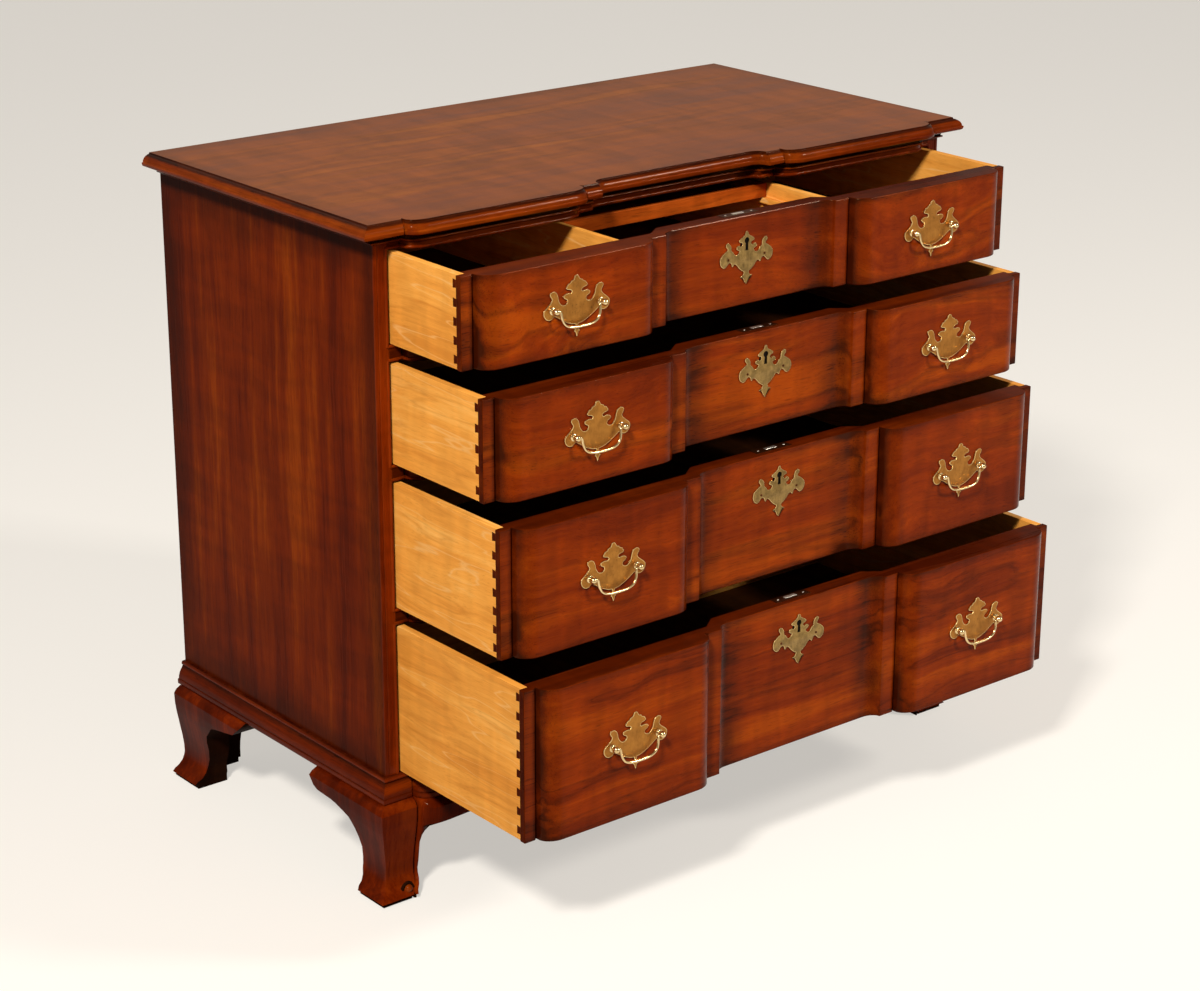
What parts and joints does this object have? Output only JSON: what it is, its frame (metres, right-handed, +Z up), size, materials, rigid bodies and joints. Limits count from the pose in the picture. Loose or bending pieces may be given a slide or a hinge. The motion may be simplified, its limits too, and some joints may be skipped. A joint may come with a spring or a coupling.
{
  "type": "block front chest",
  "caption": "Chest of graduated drawers with a blocked front, moulded top, ogee bracket feet and brass bail handles, its drawers standing open in steps.",
  "frame": {"origin": "on the floor, under the middle of the box round the chest with its drawers open as at rest", "axes": "+Z up, +Y towards the back board, +X to the right as one faces the drawers, which pull out along -Y"},
  "size_m": [1.068, 0.819, 0.9331],
  "materials": {
    "case_mahogany": "gloss",
    "top_mahogany": "gloss",
    "front_mahogany": "gloss",
    "maple": "satin",
    "brass": "antiqued",
    "steel": "satin"
  },
  "bodies": {
    "case": {"top": "top_mahogany", "base_frame": "case_mahogany", "side_left": "case_mahogany", "side_right": "case_mahogany", "back_board": "case_mahogany", "top_rail": "front_mahogany", "divider_1": "front_mahogany", "divider_2": "front_mahogany", "divider_3": "front_mahogany", "foot_front_left": "case_mahogany", "foot_front_right": "case_mahogany", "foot_rear_left": "case_mahogany", "foot_rear_right": "case_mahogany"},
    "drawer_1": {"drawer_1_front": "front_mahogany", "drawer_1_side_left": "maple", "drawer_1_side_right": "maple", "drawer_1_back": "maple", "drawer_1_bottom": "maple", "drawer_1_lock": "brass", "drawer_1_plate_left": "brass", "drawer_1_plate_right": "brass", "drawer_1_partition_left": "maple", "drawer_1_partition_right": "maple"},
    "drawer_1_bolt": {"drawer_1_lock_bolt": "steel"},
    "drawer_1_bail_left": {"drawer_1_bail_left": "brass"},
    "drawer_1_bail_right": {"drawer_1_bail_right": "brass"},
    "drawer_2": {"drawer_2_front": "front_mahogany", "drawer_2_side_left": "maple", "drawer_2_side_right": "maple", "drawer_2_back": "maple", "drawer_2_bottom": "maple", "drawer_2_lock": "brass", "drawer_2_plate_left": "brass", "drawer_2_plate_right": "brass"},
    "drawer_2_bolt": {"drawer_2_lock_bolt": "steel"},
    "drawer_2_bail_left": {"drawer_2_bail_left": "brass"},
    "drawer_2_bail_right": {"drawer_2_bail_right": "brass"},
    "drawer_3": {"drawer_3_front": "front_mahogany", "drawer_3_side_left": "maple", "drawer_3_side_right": "maple", "drawer_3_back": "maple", "drawer_3_bottom": "maple", "drawer_3_lock": "brass", "drawer_3_plate_left": "brass", "drawer_3_plate_right": "brass"},
    "drawer_3_bolt": {"drawer_3_lock_bolt": "steel"},
    "drawer_3_bail_left": {"drawer_3_bail_left": "brass"},
    "drawer_3_bail_right": {"drawer_3_bail_right": "brass"},
    "drawer_4": {"drawer_4_front": "front_mahogany", "drawer_4_side_left": "maple", "drawer_4_side_right": "maple", "drawer_4_back": "maple", "drawer_4_bottom": "maple", "drawer_4_lock": "brass", "drawer_4_plate_left": "brass", "drawer_4_plate_right": "brass"},
    "drawer_4_bolt": {"drawer_4_lock_bolt": "steel"},
    "drawer_4_bail_left": {"drawer_4_bail_left": "brass"},
    "drawer_4_bail_right": {"drawer_4_bail_right": "brass"},
    "drawer_1_tray": {"drawer_1_tray": "front_mahogany"}
  },
  "joints": [
    {"name": "drawer_1_slide", "type": "slide", "parent": "case", "child": "drawer_1", "axis": [0, -1, 0], "range_m": [-0.1528, 0.2372]},
    {"name": "drawer_1_bolt_throw", "type": "slide", "parent": "drawer_1", "child": "drawer_1_bolt", "axis": [0, 0, 1], "range_m": [0, 0.008]},
    {"name": "drawer_1_bail_left_swing", "type": "hinge", "parent": "drawer_1", "child": "drawer_1_bail_left", "pos_m": [-0.314, -0.2843, 0.83035], "axis": [-1, 0, 0], "range_deg": [-17, 150]},
    {"name": "drawer_1_bail_right_swing", "type": "hinge", "parent": "drawer_1", "child": "drawer_1_bail_right", "pos_m": [0.314, -0.2843, 0.83035], "axis": [-1, 0, 0], "range_deg": [-17, 150]},
    {"name": "drawer_2_slide", "type": "slide", "parent": "case", "child": "drawer_2", "axis": [0, -1, 0], "range_m": [-0.1945, 0.1955]},
    {"name": "drawer_2_bolt_throw", "type": "slide", "parent": "drawer_2", "child": "drawer_2_bolt", "axis": [0, 0, 1], "range_m": [0, 0.008]},
    {"name": "drawer_2_bail_left_swing", "type": "hinge", "parent": "drawer_2", "child": "drawer_2_bail_left", "pos_m": [-0.314, -0.326, 0.67675], "axis": [-1, 0, 0], "range_deg": [-17, 150]},
    {"name": "drawer_2_bail_right_swing", "type": "hinge", "parent": "drawer_2", "child": "drawer_2_bail_right", "pos_m": [0.314, -0.326, 0.67675], "axis": [-1, 0, 0], "range_deg": [-17, 150]},
    {"name": "drawer_3_slide", "type": "slide", "parent": "case", "child": "drawer_3", "axis": [0, -1, 0], "range_m": [-0.2268, 0.1632]},
    {"name": "drawer_3_bolt_throw", "type": "slide", "parent": "drawer_3", "child": "drawer_3_bolt", "axis": [0, 0, 1], "range_m": [0, 0.008]},
    {"name": "drawer_3_bail_left_swing", "type": "hinge", "parent": "drawer_3", "child": "drawer_3_bail_left", "pos_m": [-0.314, -0.3583, 0.49705], "axis": [-1, 0, 0], "range_deg": [-17, 150]},
    {"name": "drawer_3_bail_right_swing", "type": "hinge", "parent": "drawer_3", "child": "drawer_3_bail_right", "pos_m": [0.314, -0.3583, 0.49705], "axis": [-1, 0, 0], "range_deg": [-17, 150]},
    {"name": "drawer_4_slide", "type": "slide", "parent": "case", "child": "drawer_4", "axis": [0, -1, 0], "range_m": [-0.273, 0.117]},
    {"name": "drawer_4_bolt_throw", "type": "slide", "parent": "drawer_4", "child": "drawer_4_bolt", "axis": [0, 0, 1], "range_m": [0, 0.008]},
    {"name": "drawer_4_bail_left_swing", "type": "hinge", "parent": "drawer_4", "child": "drawer_4_bail_left", "pos_m": [-0.314, -0.4045, 0.27985], "axis": [-1, 0, 0], "range_deg": [-17, 150]},
    {"name": "drawer_4_bail_right_swing", "type": "hinge", "parent": "drawer_4", "child": "drawer_4_bail_right", "pos_m": [0.314, -0.4045, 0.27985], "axis": [-1, 0, 0], "range_deg": [-17, 150]},
    {"name": "drawer_1_tray_slide", "type": "slide", "parent": "drawer_1", "child": "drawer_1_tray", "axis": [0, -1, 0], "range_m": [-0.095, 0.13]}
  ]
}
